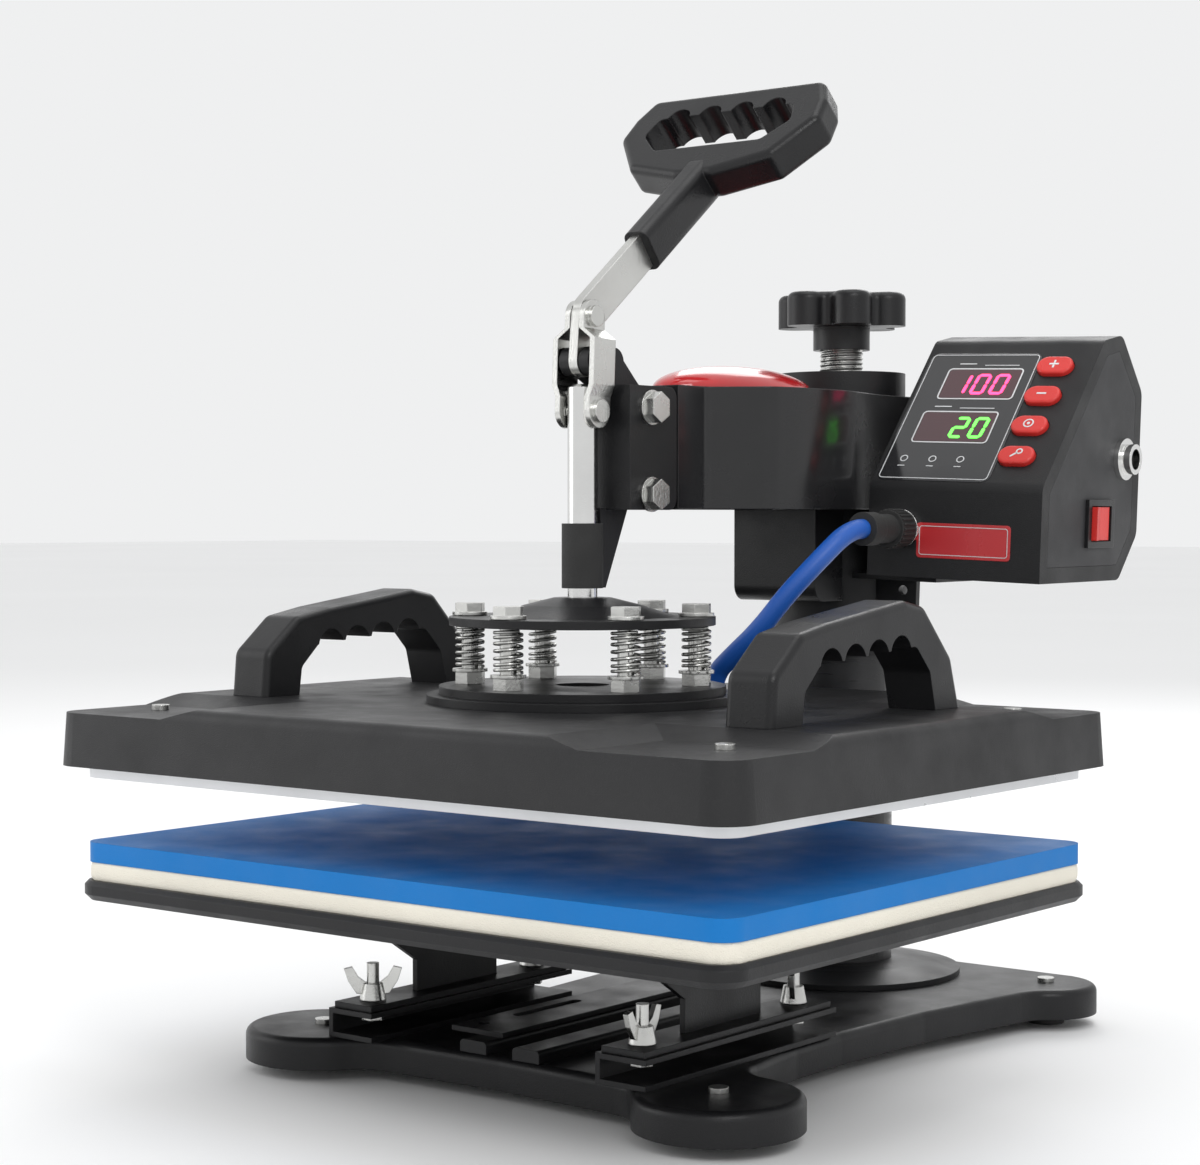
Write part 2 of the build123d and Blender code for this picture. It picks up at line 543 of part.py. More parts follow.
ROCKER_AT, AUX_AT, LEAD_AT = (68.0, 30.0), (95.0, 64.0), (20.0, 25.0)
WINDOW_SIZE, WINDOW_AT = (65.0, 91.0), (34.5, 48.0)
PLUG_LENGTH = 42.0


ROCKER_OUTLINE = [(4.6, -11), (1.2, 0), (1.2, 11), (-3, 11), (-7, 6), (-7, -6), (-3, -11)]


def rocker_block(x, half_y, half_z):
    """A box round the rocker's middle, in the control box's frame."""
    y, z = ROCKER_AT
    return block(x, (y - half_y, y + half_y), (z - half_z, z + half_z))


def boss(radius, low, high):
    return Pos(0, 0, low) * Cylinder(radius, high - low, align=(Align.CENTER, Align.CENTER, Align.MIN))


def make_box():
    side = (BOX_W - WALL, BOX_W)
    housing = box_prism(0, (0, BOX_W)) - box_prism(WALL, (WALL, BOX_W - WALL)) - box_prism(8, side)
    window = RectangleRounded(*WINDOW_SIZE, 5)
    housing -= panel_place(*WINDOW_AT, -1.2) * extrude(window, 2)
    for s in BUTTON_S:
        hole = SlotOverall(BUTTON_L + 2 * GAP, BUTTON_W + 2 * GAP)
        housing -= panel_place(BUTTON_X, s, -4) * extrude(hole, 6)
    lead_hole = Pos(LEAD_AT[0], 0, LEAD_AT[1]) * Rot(90, 0, 0)
    housing -= lead_hole * Cylinder(8.0, 12)
    parts["control_housing"] = BOX_PLACE * housing
    parts["display_window"] = BOX_PLACE * panel_place(*WINDOW_AT, -1.2) * extrude(window, 1.4)

    panel = box_prism(8.15, side)
    panel -= rocker_block((80, 110), 14.2, 10.7)
    panel -= pin(8.0, (90, 110), AUX_AT)
    parts["side_panel"] = BOX_PLACE * panel
    bezel = rocker_block((BOX_W - 16, BOX_W), 14.2, 10.7) + rocker_block((BOX_W, BOX_W + 2), 16.0, 12.5)
    bezel -= rocker_block((BOX_W - 12, BOX_W + 3), 12.2, 9.2)
    parts["rocker_bezel"] = BOX_PLACE * bezel
    rocker = extrude(make_face(Polyline(*ROCKER_OUTLINE, close=True)), 8.7, both=True)
    parts["power_rocker"] = BOX_PLACE * Pos(BOX_W, ROCKER_AT[0], ROCKER_AT[1]) * rocker
    socket = pin(8.0, (BOX_W - 14, BOX_W + 8), AUX_AT) + pin(11.0, (BOX_W, BOX_W + 3), AUX_AT)
    socket -= pin(5.5, (BOX_W - 6, BOX_W + 9), AUX_AT)
    parts["aux_socket"] = BOX_PLACE * socket
    parts["lead_socket"] = BOX_PLACE * lead_hole * (boss(8.0, -16, 0) + boss(10.0, 0, 2.5))
    plug = boss(9.5, 2.5, 16.5) + boss(7.5, 16.5, 31.5) + boss(8.5, 31.5, PLUG_LENGTH)
    parts["lead_plug"] = BOX_PLACE * lead_hole * plug
    board = Pos(0, 0, -20) * Box(84, 80, 1.6)
    board += Pos(-20, 10, -15.5) * Box(44, 48, 7.5) + Pos(26, -20, -25) * Box(20, 26, 9)
    parts["circuit_board"] = BOX_PLACE * panel_place(46, 50) * board
    mount = block((-20, 30), (20, 90), (-3, 0)) + block((-20, 8), (40, 44), (-17, 0))
    mount -= Pos(0, 42, -9) * Rot(90, 0, 0) * Cylinder(2.6, 12)
    sleeve = disc(SLEEVE_R, (SLEEVE_BOTTOM, SLEEVE_TOP), (0, POST_Y))
    parts["box_bracket"] = BOX_PLACE * mount - sleeve


BUTTON_NAMES = ("button_up", "button_down", "button_mode", "button_set")


def make_buttons():
    for name, s in zip(BUTTON_NAMES, BUTTON_S):
        cap = extrude(SlotOverall(BUTTON_L, BUTTON_W), 6.5)
        cap = fillet(cap.faces().sort_by(Axis.Z)[-1].edges(), 1.4)
        parts[name] = BOX_PLACE * panel_place(BUTTON_X, s, -3.5) * cap


# ---- heating lead ----
def lead_points():
    straight = [(BOX_PLACE * Pos(LEAD_AT[0], -PLUG_LENGTH - out, LEAD_AT[1])).position for out in (0, 13)]
    route = [(68.0, 103.0, 251.0), (56.0, 92.5, 234.0), (43.0, 87.0, 216.0),
             (28.0, 84.8, 202.5), (15.6, 85.9, 192.0), (*LEAD_ENTRY, COVER_TOP - WALL - 2)]
    return [tuple(point) for point in straight] + route


def bend_radii(points):
    """For each corner, the radius that uses 0.45 of its shorter run."""
    radii = []
    spots = [Vector(*p) for p in points]
    for before, here, after in zip(spots, spots[1:], spots[2:]):
        run_in, run_out = here - before, after - here
        turn = radians(run_in.get_angle(run_out))
        radii.append(0.45 * min(run_in.length, run_out.length) / tan(turn / 2))
    return radii


def make_lead():
    points = lead_points()
    radii = bend_radii(points)
    path = FilletPolyline(*points, radius=radii)
    section = Plane(origin=path @ 0, z_dir=path % 0) * Circle(LEAD_D / 2)
    tube = sweep(section, path)
    parts["heating_lead"] = tube
    print("lead length", round(path.length, 1), "bend radii", [round(r, 1) for r in radii])


def main():
    make_base()
    make_post()
    make_rails()
    make_table()
    make_clamps()
    make_bearing()
    make_arm_frame()
    make_cowl()
    make_bracket()
    make_lever()
    make_links()
    make_ram()
    make_spring_pack()
    make_platen()
    make_handles()
    make_box()
    make_buttons()
    make_lead()
    middle = group(parts.values()).bounding_box().center()
    print("origin shift", round(-middle.X, 3), round(-middle.Y, 3))
    for name, shape in parts.items():
        export_step(Pos(-middle.X, -middle.Y, 0) * shape, f"parts/{name}.step")


main()
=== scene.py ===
from math import atan2, cos, pi, radians, sin

import bmesh
import bpy
from mathutils import Matrix, Vector


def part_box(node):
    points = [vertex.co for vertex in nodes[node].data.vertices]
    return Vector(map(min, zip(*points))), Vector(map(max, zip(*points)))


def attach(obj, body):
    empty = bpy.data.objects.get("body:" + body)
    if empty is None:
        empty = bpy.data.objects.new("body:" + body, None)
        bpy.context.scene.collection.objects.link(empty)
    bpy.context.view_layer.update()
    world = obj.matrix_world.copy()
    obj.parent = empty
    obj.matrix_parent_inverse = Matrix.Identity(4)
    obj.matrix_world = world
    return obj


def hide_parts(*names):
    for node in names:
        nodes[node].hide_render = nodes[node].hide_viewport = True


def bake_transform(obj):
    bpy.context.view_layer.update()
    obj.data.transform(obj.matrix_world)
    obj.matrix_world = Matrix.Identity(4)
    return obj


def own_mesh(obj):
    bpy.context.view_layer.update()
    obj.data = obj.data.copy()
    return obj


# The looks of a swing-away heat press. Shapes are given in mm, and link_mesh turns them into metres. The
# camera, the lights and the materials' sizes are in metres. The origin is on the bench, below the middle of
# the whole press, with the front towards -Y.

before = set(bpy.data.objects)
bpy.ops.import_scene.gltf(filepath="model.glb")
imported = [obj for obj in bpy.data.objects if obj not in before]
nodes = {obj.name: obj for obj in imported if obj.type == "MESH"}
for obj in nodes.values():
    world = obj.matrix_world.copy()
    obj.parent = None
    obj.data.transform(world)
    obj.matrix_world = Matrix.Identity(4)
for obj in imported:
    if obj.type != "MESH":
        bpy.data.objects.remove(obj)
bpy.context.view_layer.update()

MM = 0.001
PRESS_Y = -67.684                  # the press rod's axis, along Y
POST_Y = PRESS_Y + 228.0           # the post's axis, along Y

# the control box: its lower front left corner, its turns about Y and Z, and its sloped panel
BOX_CORNER = (52.2, 171.9 + PRESS_Y, 241.9)
BOX_TURN = (radians(2.0), radians(3.0))
TURNED = Matrix.Rotation(BOX_TURN[0], 4, "Y") @ Matrix.Rotation(BOX_TURN[1], 4, "Z")
BOX = Matrix.Translation(BOX_CORNER) @ TURNED
BOX_FRONT = BOX @ Matrix.Rotation(radians(90), 4, "X")
PANEL_FOOT, PANEL_HEAD = (0.0, 48.0), (68.0, 125.0)
SLOPE = atan2(PANEL_HEAD[1] - PANEL_FOOT[1], PANEL_HEAD[0] - PANEL_FOOT[0])


# ---- camera ----
CAMERA_AT = (0.74787, -1.00108, 0.27211)
CAMERA_DOWN, CAMERA_ROUND = 1.91, 38.3      # degrees below level, and to the right of the front


def make_camera():
    data = bpy.data.cameras.new("camera")
    data.lens = 74.74
    data.sensor_width = 36.0
    data.shift_y = 0.0146
    camera = bpy.data.objects.new("camera", data)
    bpy.context.collection.objects.link(camera)
    camera.location = CAMERA_AT
    camera.rotation_euler = (radians(90 - CAMERA_DOWN), 0, radians(CAMERA_ROUND))
    bpy.context.scene.camera = camera


# ---- mesh helpers ----
def link_mesh(name, bm, place=Matrix.Identity(4)):
    """Turn a bmesh in mm, put at a place, into an object in metres."""
    bm.transform(Matrix.Scale(MM, 4) @ place)
    bmesh.ops.recalc_face_normals(bm, faces=bm.faces)
    mesh = bpy.data.meshes.new(name)
    bm.to_mesh(mesh)
    bm.free()
    thing = bpy.data.objects.new(name, mesh)
    bpy.context.collection.objects.link(thing)
    return thing


def add_prism(bm, outline, low, high):
    """Extrude a closed (x, y) outline from z = low to z = high inside an existing bmesh."""
    lower = [bm.verts.new((x, y, low)) for x, y in outline]
    upper = [bm.verts.new((x, y, high)) for x, y in outline]
    bm.faces.new(lower[::-1])
    bm.faces.new(upper)
    for k in range(len(outline)):
        after = (k + 1) % len(outline)
        bm.faces.new((lower[k], lower[after], upper[after], upper[k]))


def add_ring(bm, outer, inner, low, high):
    """A raised loop between two outlines with the same number of points."""
    rows = [[bm.verts.new((x, y, z)) for x, y in line] for line in (outer, inner) for z in (low, high)]
    outer_low, outer_high, inner_low, inner_high = rows
    around = (outer_low, outer_high, inner_high, inner_low, outer_low)
    for a, b in zip(around, around[1:]):
        for k in range(len(outer)):
            after = (k + 1) % len(outer)
            bm.faces.new((a[k], a[after], b[after], b[k]))


def skin(bm, rings):
    """Join rings with the same number of vertices one after the other, and close both ends."""
    for before, after in zip(rings, rings[1:]):
        for k in range(len(before)):
            beside = (k + 1) % len(before)
            bm.faces.new((before[k], before[beside], after[beside], after[k]))
    bm.faces.new(rings[0][::-1])
    bm.faces.new(rings[-1])


def tube(bm, points, radius, around=8):
    """Sweep a round section along points, carrying the section's turn from point to point."""
    rings = []
    spots = [Vector(p) for p in points]
    angles = [2 * pi * j / around for j in range(around)]
    side = None
    for k, spot in enumerate(spots):
        ahead = (spots[min(k + 1, len(spots) - 1)] - spots[max(k - 1, 0)]).normalized()
        if side is None:
            side = ahead.orthogonal().normalized()
        side = (side - ahead * side.dot(ahead)).normalized()
        up = ahead.cross(side)
        rings.append([bm.verts.new(spot + radius * (side * cos(a) + up * sin(a))) for a in angles])
    skin(bm, rings)


def rounded(width, height, corner, at=(0.0, 0.0), steps=5):
    """The points of a rectangle with round corners."""
    points = []
    middles = ((1, 1, 0), (-1, 1, 90), (-1, -1, 180), (1, -1, 270))
    for sx, sy, first in middles:
        cx, cy = at[0] + sx * (width / 2 - corner), at[1] + sy * (height / 2 - corner)
        for k in range(steps + 1):
            a = radians(first + 90.0 * k / steps)
            points.append((cx + corner * cos(a), cy + corner * sin(a)))
    return points


def circle(radius, at=(0.0, 0.0), count=32):
    angles = [2 * pi * k / count for k in range(count)]
    return [(at[0] + radius * cos(a), at[1] + radius * sin(a)) for a in angles]


def bar(p, q, width):
    """A straight flat stroke with pointed ends, from p to q."""
    run = Vector((q[0] - p[0], q[1] - p[1]))
    along = run.normalized() * (width / 2)
    side = Vector((-along.y, along.x))
    a, b = Vector(p), Vector(q)
    corners = (a, a + along + side, b - along + side, b, b - along - side, a + along - side)
    return [tuple(c) for c in corners]


def smooth(thing, angle):
    """Smooth shading that stays crisp at real edges."""
    mesh = thing.data
    mesh.polygons.foreach_set("use_smooth", [True] * len(mesh.polygons))
    mesh.set_sharp_from_angle(angle=radians(angle))


def on_panel(lift=0.0):
    """The place of the sloped panel: x across, y up the slope, z out of it."""
    foot = Matrix.Translation((0, PANEL_FOOT[0], PANEL_FOOT[1]))
    return BOX @ foot @ Matrix.Rotation(SLOPE, 4, "X") @ Matrix.Translation((0, 0, lift))


# ---- materials ----
class Graph:
    """A short way to write a node tree."""

    def __init__(self, name):
        self.material = bpy.data.materials.new(name)
        self.material.use_nodes = True
        self.tree = self.material.node_tree
        self.shader = self.tree.nodes["Principled BSDF"]
        self.place = self.tree.nodes.new("ShaderNodeTexCoord").outputs["Object"]

    def add(self, kind, inputs=(), **settings):
        node = self.tree.nodes.new(kind)
        for key, value in settings.items():
            setattr(node, key, value)
        for key, value in dict(inputs).items():
            self.set(node.inputs[key], value)
        return node

    def set(self, socket, value):
        if isinstance(value, bpy.types.NodeSocket):
            self.tree.links.new(value, socket)
        else:
            socket.default_value = value

    def noise(self, scale, detail=3.0, stretch=(1, 1, 1)):
        place = self.add("ShaderNodeMapping", {"Vector": self.place, "Scale": stretch}).outputs[0]
        inputs = {"Vector": place, "Scale": scale, "Detail": detail}
        return self.add("ShaderNodeTexNoise", inputs).outputs["Fac"]

    def span(self, value, low, high, start=0.3, stop=0.7):
        """Map start to low and stop to high, and nothing past them."""
        inputs = {"Value": value, "From Min": start, "From Max": stop, "To Min": low, "To Max": high}
        return self.add("ShaderNodeMapRange", inputs).outputs["Result"]

    def mix(self, factor, a, b):
        node = self.add("ShaderNodeMix", data_type="RGBA")
        self.set(node.inputs["Factor"], factor)
        self.set(node.inputs[6], a)
        self.set(node.inputs[7], b)
        return node.outputs[2]


def rgba(color, factor=1.0):
    return (*[min(1.0, c * factor) for c in color], 1.0)


def edges(graph, radius):
    """How strongly a point lies on an outer or inner edge, from 0 to 1, and the rounded edge's normal."""
    bevel = graph.add("ShaderNodeBevel", {"Radius": radius}, samples=4)
    flat = graph.add("ShaderNodeNewGeometry").outputs["Normal"]
    turn = graph.add("ShaderNodeVectorMath", {0: bevel.outputs[0], 1: flat}, operation="DOT_PRODUCT")
    return graph.span(turn.outputs["Value"], 1.0, 0.0, start=0.80, stop=0.99), bevel.outputs[0]


PATCH_SCALE, RUB_SCALE, DUST_SCALE, SMEAR_SCALE = 14.0, 160.0, 420.0, 38.0      # noise cells to a metre
DUST_COLOR = (0.45, 0.44, 0.42)
BUMP_DEPTH = 0.0004
COAT_ROUGH = 0.12


def surface(name, color, rough, metal=0.0, grain=0.0, grain_scale=900.0, vary=0.10, wear=0.35, worn=None,
            coat=0.0, stretch=(1, 1, 1), bevel=0.0006, dust=0.0, shine=0.5):
    """A worn, grainy surface, by its name: patchy colour and roughness, fine bump and rubbed edges."""
    g = Graph(name)
    patches = g.span(g.noise(PATCH_SCALE, 5.0), 0.0, 1.0)
    shade = g.mix(patches, rgba(color, 1 - vary), rgba(color, 1 + vary))
    edge, soft = edges(g, bevel)
    rubbed = g.span(g.noise(RUB_SCALE, 6.0), 0.0, wear, 0.35, 0.65)
    rub = g.add("ShaderNodeMath", {0: edge, 1: rubbed}, operation="MULTIPLY")
    shade = g.mix(rub.outputs[0], shade, rgba(worn or [0.5 * c + 0.13 for c in color]))
    if dust:
        shade = g.mix(g.span(g.noise(DUST_SCALE, 8.0), 0.0, dust, 0.55, 0.75), shade, rgba(DUST_COLOR))
    bump = g.add("ShaderNodeBump", {"Height": g.noise(grain_scale, 3.0, stretch), "Normal": soft,
                                    "Strength": min(1.0, grain), "Distance": BUMP_DEPTH})
    smear = g.span(g.noise(SMEAR_SCALE, 6.0, stretch), max(0.02, rough - 0.09), min(1.0, rough + 0.10))
    sockets = {"Base Color": shade, "Roughness": smear, "Metallic": metal, "Specular IOR Level": shine,
               "Coat Weight": coat, "Coat Roughness": COAT_ROUGH, "Normal": bump.outputs[0]}
    for socket, value in sockets.items():
        g.set(g.shader.inputs[socket], value)
    return name, g.material


def glow(name, color, strength):
    """A lit surface, by its name, whose brightness drifts a little from place to place."""
    g = Graph(name)
    drift = g.span(g.noise(300.0, 2.0), 0.9 * strength, 1.1 * strength)
    g.set(g.shader.inputs["Base Color"], rgba(color, 0.4))
    g.set(g.shader.inputs["Roughness"], g.span(g.noise(90.0), 0.3, 0.5))
    g.set(g.shader.inputs["Emission Color"], rgba(color))
    g.set(g.shader.inputs["Emission Strength"], drift)
    return name, g.material


BLACK = (0.009, 0.009, 0.010)
ZINC, ZINC_WORN = (0.60, 0.60, 0.58), (0.8, 0.8, 0.78)


def black_materials():
    return [
        surface("black_metal", BLACK, 0.38, grain=0.30, grain_scale=1300, wear=0.22, shine=0.32),
        surface("cover", (0.012, 0.012, 0.013), 0.44, grain=0.40, grain_scale=1900, wear=0.18, dust=0.008,
                shine=0.36),
        surface("housing", (0.010, 0.010, 0.011), 0.48, grain=0.4, grain_scale=2100, wear=0.18, dust=0.006,
                shine=0.36),
        surface("side_panel", (0.024, 0.024, 0.026), 0.52, grain=0.4, grain_scale=2100, wear=0.2, shine=0.4),
        surface("black_plastic", BLACK, 0.34, grain=0.25, grain_scale=1500, wear=0.22, shine=0.36),
        surface("grip", BLACK, 0.30, grain=0.3, grain_scale=1100, wear=0.2, bevel=0.001, shine=0.36),
        surface("gloss_black", BLACK, 0.22, grain=0.06, coat=0.25, wear=0.15, bevel=0.001, shine=0.4),
        surface("black_rubber", (0.02, 0.02, 0.02), 0.7, grain=0.5, wear=0.4),
        surface("post_black", (0.02, 0.02, 0.021), 0.30, grain=0.12, metal=0.3, stretch=(1, 1, 8)),
    ]


def metal_materials():
    return [
        surface("white_edge", (0.74, 0.75, 0.77), 0.35, metal=0.35, grain=0.12, wear=0.2),
        surface("zinc", ZINC, 0.27, metal=1.0, grain=0.16, grain_scale=700, worn=ZINC_WORN),
        surface("zinc_brushed", ZINC, 0.33, metal=1.0, grain=0.4, grain_scale=260, stretch=(9, 1, 1),
                worn=ZINC_WORN),
        surface("chrome", (0.72, 0.72, 0.71), 0.12, metal=1.0, grain=0.04, wear=0.1),
        surface("brass", (0.62, 0.45, 0.20), 0.3, metal=1.0, grain=0.2, stretch=(1, 1, 12)),
    ]


def coloured_materials():
    return [
        surface("mat_blue", (0.0, 0.165, 0.50), 0.55, grain=0.5, grain_scale=2100, vary=0.04, wear=0.25,
                worn=(0.04, 0.26, 0.65), shine=0.3),
        surface("foam", (0.80, 0.76, 0.66), 0.85, grain=1.0, grain_scale=1500, vary=0.06, wear=0.2),
        surface("cable", (0.01, 0.10, 0.46), 0.42, grain=0.25, vary=0.12, wear=0.2, worn=(0.05, 0.2, 0.6)),
        surface("red_gloss", (0.52, 0.012, 0.016), 0.18, grain=0.05, coat=0.7, wear=0.15,
                worn=(0.7, 0.1, 0.1)),
        surface("red_button", (0.62, 0.03, 0.025), 0.32, grain=0.2, wear=0.3, worn=(0.75, 0.2, 0.15)),
        surface("label", (0.50, 0.025, 0.03), 0.30, grain=0.08, wear=0.3, worn=(0.7, 0.2, 0.2)),
        surface("board_green", (0.03, 0.22, 0.09), 0.4, grain=0.3),
        surface("insulation", (0.72, 0.69, 0.6), 0.9, grain=0.8, grain_scale=700),
    ]


def display_materials():
    return [
        surface("screen", (0.008, 0.008, 0.010), 0.12, grain=0.02, coat=0.8, wear=0.0),
        surface("screen_deep", (0.05, 0.008, 0.014), 0.10, grain=0.02, coat=0.8, wear=0.0),
        surface("print", (0.72, 0.73, 0.74), 0.5, grain=0.1, wear=0.0),
        glow("red_light", (1.0, 0.05, 0.18), 3.2),
        glow("green_light", (0.12, 1.0, 0.08), 2.6),
    ]


def make_materials():
    return dict(black_materials() + metal_materials() + coloured_materials() + display_materials())


NODE_LOOK = {
    "black_metal": ["base_plate", "post_flange", "table_legs", "table_tray", "arm_frame", "lever_bracket",
                    "domed_plate", "spring_disc_lower", "spring_disc_upper", "accessory_rails", "guide_bars",
                    "box_bracket"],
    "cover": ["platen_cover"],
    "housing": ["control_housing"],
    "side_panel": ["side_panel"],
    "black_plastic": ["pressure_knob", "arm_skirt", "side_handle_left", "side_handle_right", "rocker_bezel"],
    "grip": ["lever_grip"],
    "gloss_black": ["arm_cowl_left", "arm_cowl_right"],
    "black_rubber": ["rubber_feet", "lead_plug", "guide_bushing"],
    "white_edge": ["heating_plate"],
    "zinc": ["foot_screws", "wing_studs", "wing_nut_1", "wing_nut_2", "wing_nut_3", "wing_nut_4",
             "bracket_bolts", "pivot_pin", "lever_rivet", "side_links", "cross_pin", "spring_bolts",
             "cover_screws", "pressure_screw"],
    "zinc_brushed": ["lever_bar"],
    "chrome": ["press_rod", "aux_socket", "lead_socket"],
    "post_black": ["post"],
    "brass": ["swing_bush"],
    "mat_blue": ["silicone_mat"],
    "red_gloss": ["arm_dome"],
    "red_button": ["button_up", "button_down", "button_mode", "button_set", "power_rocker"],
    "screen": ["display_window"],
    "board_green": ["circuit_board"],
    "insulation": ["insulation_board"],
}


def paint(thing, look):
    thing.data.materials.clear()
    thing.data.materials.append(looks[look])


def paint_nodes():
    for look, names in NODE_LOOK.items():
        for name in names:
            paint(nodes[name], look)


def fit(thing, look, body):
    """Give a new piece its look and its body."""
    paint(thing, look)
    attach(thing, body)


# ---- heating lead ----
LEAD_D = 10.0
LEAD_AT = (20.0, 25.0)             # across and up the box's front
PLUG_LENGTH = 42.0
LEAD_STRAIGHT = 13.0               # straight out of the plug
LEAD_ROUTE = [(68.0, 103.0, 251.0), (56.0, 92.5, 234.0), (43.0, 87.0, 216.0),
              (28.0, 84.8, 202.5), (15.6, 85.9, 192.0), (15.0, 86.0, 179.0)]


def lead_points():
    """The lead's control points, from the plug's tail to the hole in the cover."""
    outs = (PLUG_LENGTH, PLUG_LENGTH + LEAD_STRAIGHT)
    tails = [BOX @ Vector((LEAD_AT[0], -out, LEAD_AT[1])) for out in outs]
    return tails + [Vector((x, y + PRESS_Y, z)) for x, y, z in LEAD_ROUTE]


def spline_line(points):
    """The centreline of a NURBS curve through the control points."""
    data = bpy.data.curves.new("lead_path", "CURVE")
    data.dimensions = "3D"
    spline = data.splines.new("NURBS")
    spline.points.add(len(points) - 1)
    for spot, p in zip(spline.points, points):
        spot.co = (*p, 1.0)
    spline.order_u = 3
    spline.use_endpoint_u = True
    spline.resolution_u = 14
    curve = bpy.data.objects.new("lead_path", data)
    bpy.context.collection.objects.link(curve)
    bpy.context.view_layer.update()
    line = bpy.data.meshes.new_from_object(curve)
    spots = [v.co.copy() for v in line.vertices]
    bpy.data.objects.remove(curve)
    return spots


def make_lead():
    line = spline_line(lead_points())
    bm = bmesh.new()
    tube(bm, line, LEAD_D / 2, around=20)
    lead = link_mesh("heating_lead_jacket", bm)
    smooth(lead, 60)
    paint(lead, "cable")
    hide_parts("heating_lead")
    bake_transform(lead)


# ---- springs ----
SPRING_LOW, SPRING_HIGH = 199.0, 220.2
SPRING_R, WIRE_R = 6.4, 0.85
SPRING_TURNS, POINTS_PER_TURN = 7, 22
END_CROWDING = 0.045
BOLT_CIRCLE_R, BOLT_COUNT, BOLT_FIRST = 55.0, 6, 30.0


def coil_points():
    """A compression spring's line: close turns at both ends and open ones between."""
    low, high = SPRING_LOW + WIRE_R, SPRING_HIGH - WIRE_R
    count = SPRING_TURNS * POINTS_PER_TURN
    points = []
    for k in range(count + 1):
        t = k / count
        climb = t - END_CROWDING * sin(2 * pi * t)
        a = 2 * pi * SPRING_TURNS * t
        points.append(Vector((SPRING_R * cos(a), SPRING_R * sin(a), low + (high - low) * climb)))
    return points


def make_springs():
    bm = bmesh.new()
    line = coil_points()
    for k in range(BOLT_COUNT):
        a = radians(BOLT_FIRST + 360.0 / BOLT_COUNT * k)
        at = Vector((BOLT_CIRCLE_R * cos(a), BOLT_CIRCLE_R * sin(a) + PRESS_Y, 0))
        tube(bm, [p + at for p in line], WIRE_R)
    springs = link_mesh("spring_coils", bm)
    smooth(springs, 60)
    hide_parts("pressure_springs")
    fit(springs, "zinc", "platen")
    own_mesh(springs)


# ---- foam pad ----
FOAM_CORNER, FOAM_ROWS = 11.0, 7
RIM_PINCH, RIM_WOBBLE = 0.9, 0.25
WOBBLE_ALONG, WOBBLE_UP = 1.7, 3.0          # radians from one point to the next, and from bottom to top


def make_foam():
    """The soft pad between tray and mat: its rim is a little uneven, as cut foam is."""
    low, high = [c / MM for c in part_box("foam_pad")]
    outline = rounded(high.x - low.x, high.y - low.y, FOAM_CORNER, steps=10)
    bm = bmesh.new()
    rings = []
    for k in range(FOAM_ROWS + 1):
        t = k / FOAM_ROWS
        z = low.z + (high.z - low.z) * t
        pinch = RIM_PINCH * abs(2 * t - 1) ** 3
        ring = []
        for n, (x, y) in enumerate(outline):
            wobble = RIM_WOBBLE * sin(n * WOBBLE_ALONG + WOBBLE_UP * t) - RIM_WOBBLE
            out = Vector((x, y, 0)).normalized() * (wobble - pinch)
            ring.append(bm.verts.new((x + out.x, y + out.y + PRESS_Y, z)))
        rings.append(ring)
    skin(bm, rings)
    pad = link_mesh("foam_pad_soft", bm)
    smooth(pad, 50)
    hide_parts("foam_pad")
    fit(pad, "foam", "base")


# ---- control box's panel, across by up the slope ----
WINDOW_LINE, WINDOW_AT = (62.5, 88.5), (34.5, 48.0)
READOUT = (44.0, 22.5)
READOUT_AT = ((38.0, 71.0), (34.5, 40.0))
FRAME_CORNER = 2.5
INDICATOR_X, INDICATOR_S = (13.5, 30.0, 46.0), 17.5
PRINT_LIFT, GLASS_LIFT, DIGIT_LIFT = 0.25, 0.22, 0.45
PRINT_T, DASH_T, SYMBOL_T = 0.18, 0.15, 0.2


def make_frames():
    """The fine printed lines round the window and the read-outs, and at the indicators."""
    bm = bmesh.new()
    frames = [(WINDOW_LINE, WINDOW_AT, 0.5)] + [(READOUT, at, 0.8) for at in READOUT_AT]
    for (width, height), at, line in frames:
        outer = rounded(width, height, FRAME_CORNER, at)
        inner = rounded(width - 2 * line, height - 2 * line, FRAME_CORNER - line, at)
        add_ring(bm, outer, inner, 0.0, PRINT_T)
    for x in INDICATOR_X:
        add_ring(bm, circle(2.2, (x, INDICATOR_S)), circle(1.6, (x, INDICATOR_S)), 0.0, PRINT_T)
        add_prism(bm, rounded(4.0, 0.6, 0.2, (x, INDICATOR_S - 5.0)), 0.0, DASH_T)
    for x, s in READOUT_AT:
        add_prism(bm, rounded(10.0, 0.7, 0.2, (x - 12.0, s + 14.5)), 0.0, DASH_T)
        add_prism(bm, rounded(20.0, 0.5, 0.2, (x + 8.0, s + 13.5)), 0.0, DASH_T)
    fit(link_mesh("panel_lines", bm, on_panel(PRINT_LIFT)), "print", "arm")


def make_readouts():
    bm = bmesh.new()
    for at in READOUT_AT:
        add_prism(bm, rounded(READOUT[0] - 2, READOUT[1] - 2, 1.6, at), 0.0, 0.2)
    fit(link_mesh("readout_glass", bm, on_panel(GLASS_LIFT)), "screen_deep", "arm")


SEGMENTS = {"0": "abcdef", "1": "bc", "2": "abged"}
DIGIT_W, DIGIT_H, DIGIT_STEP = 6.6, 13.0, 11.0
DIGIT_LEAN = 0.10
STROKE_W, STROKE_T = 1.7, 0.25


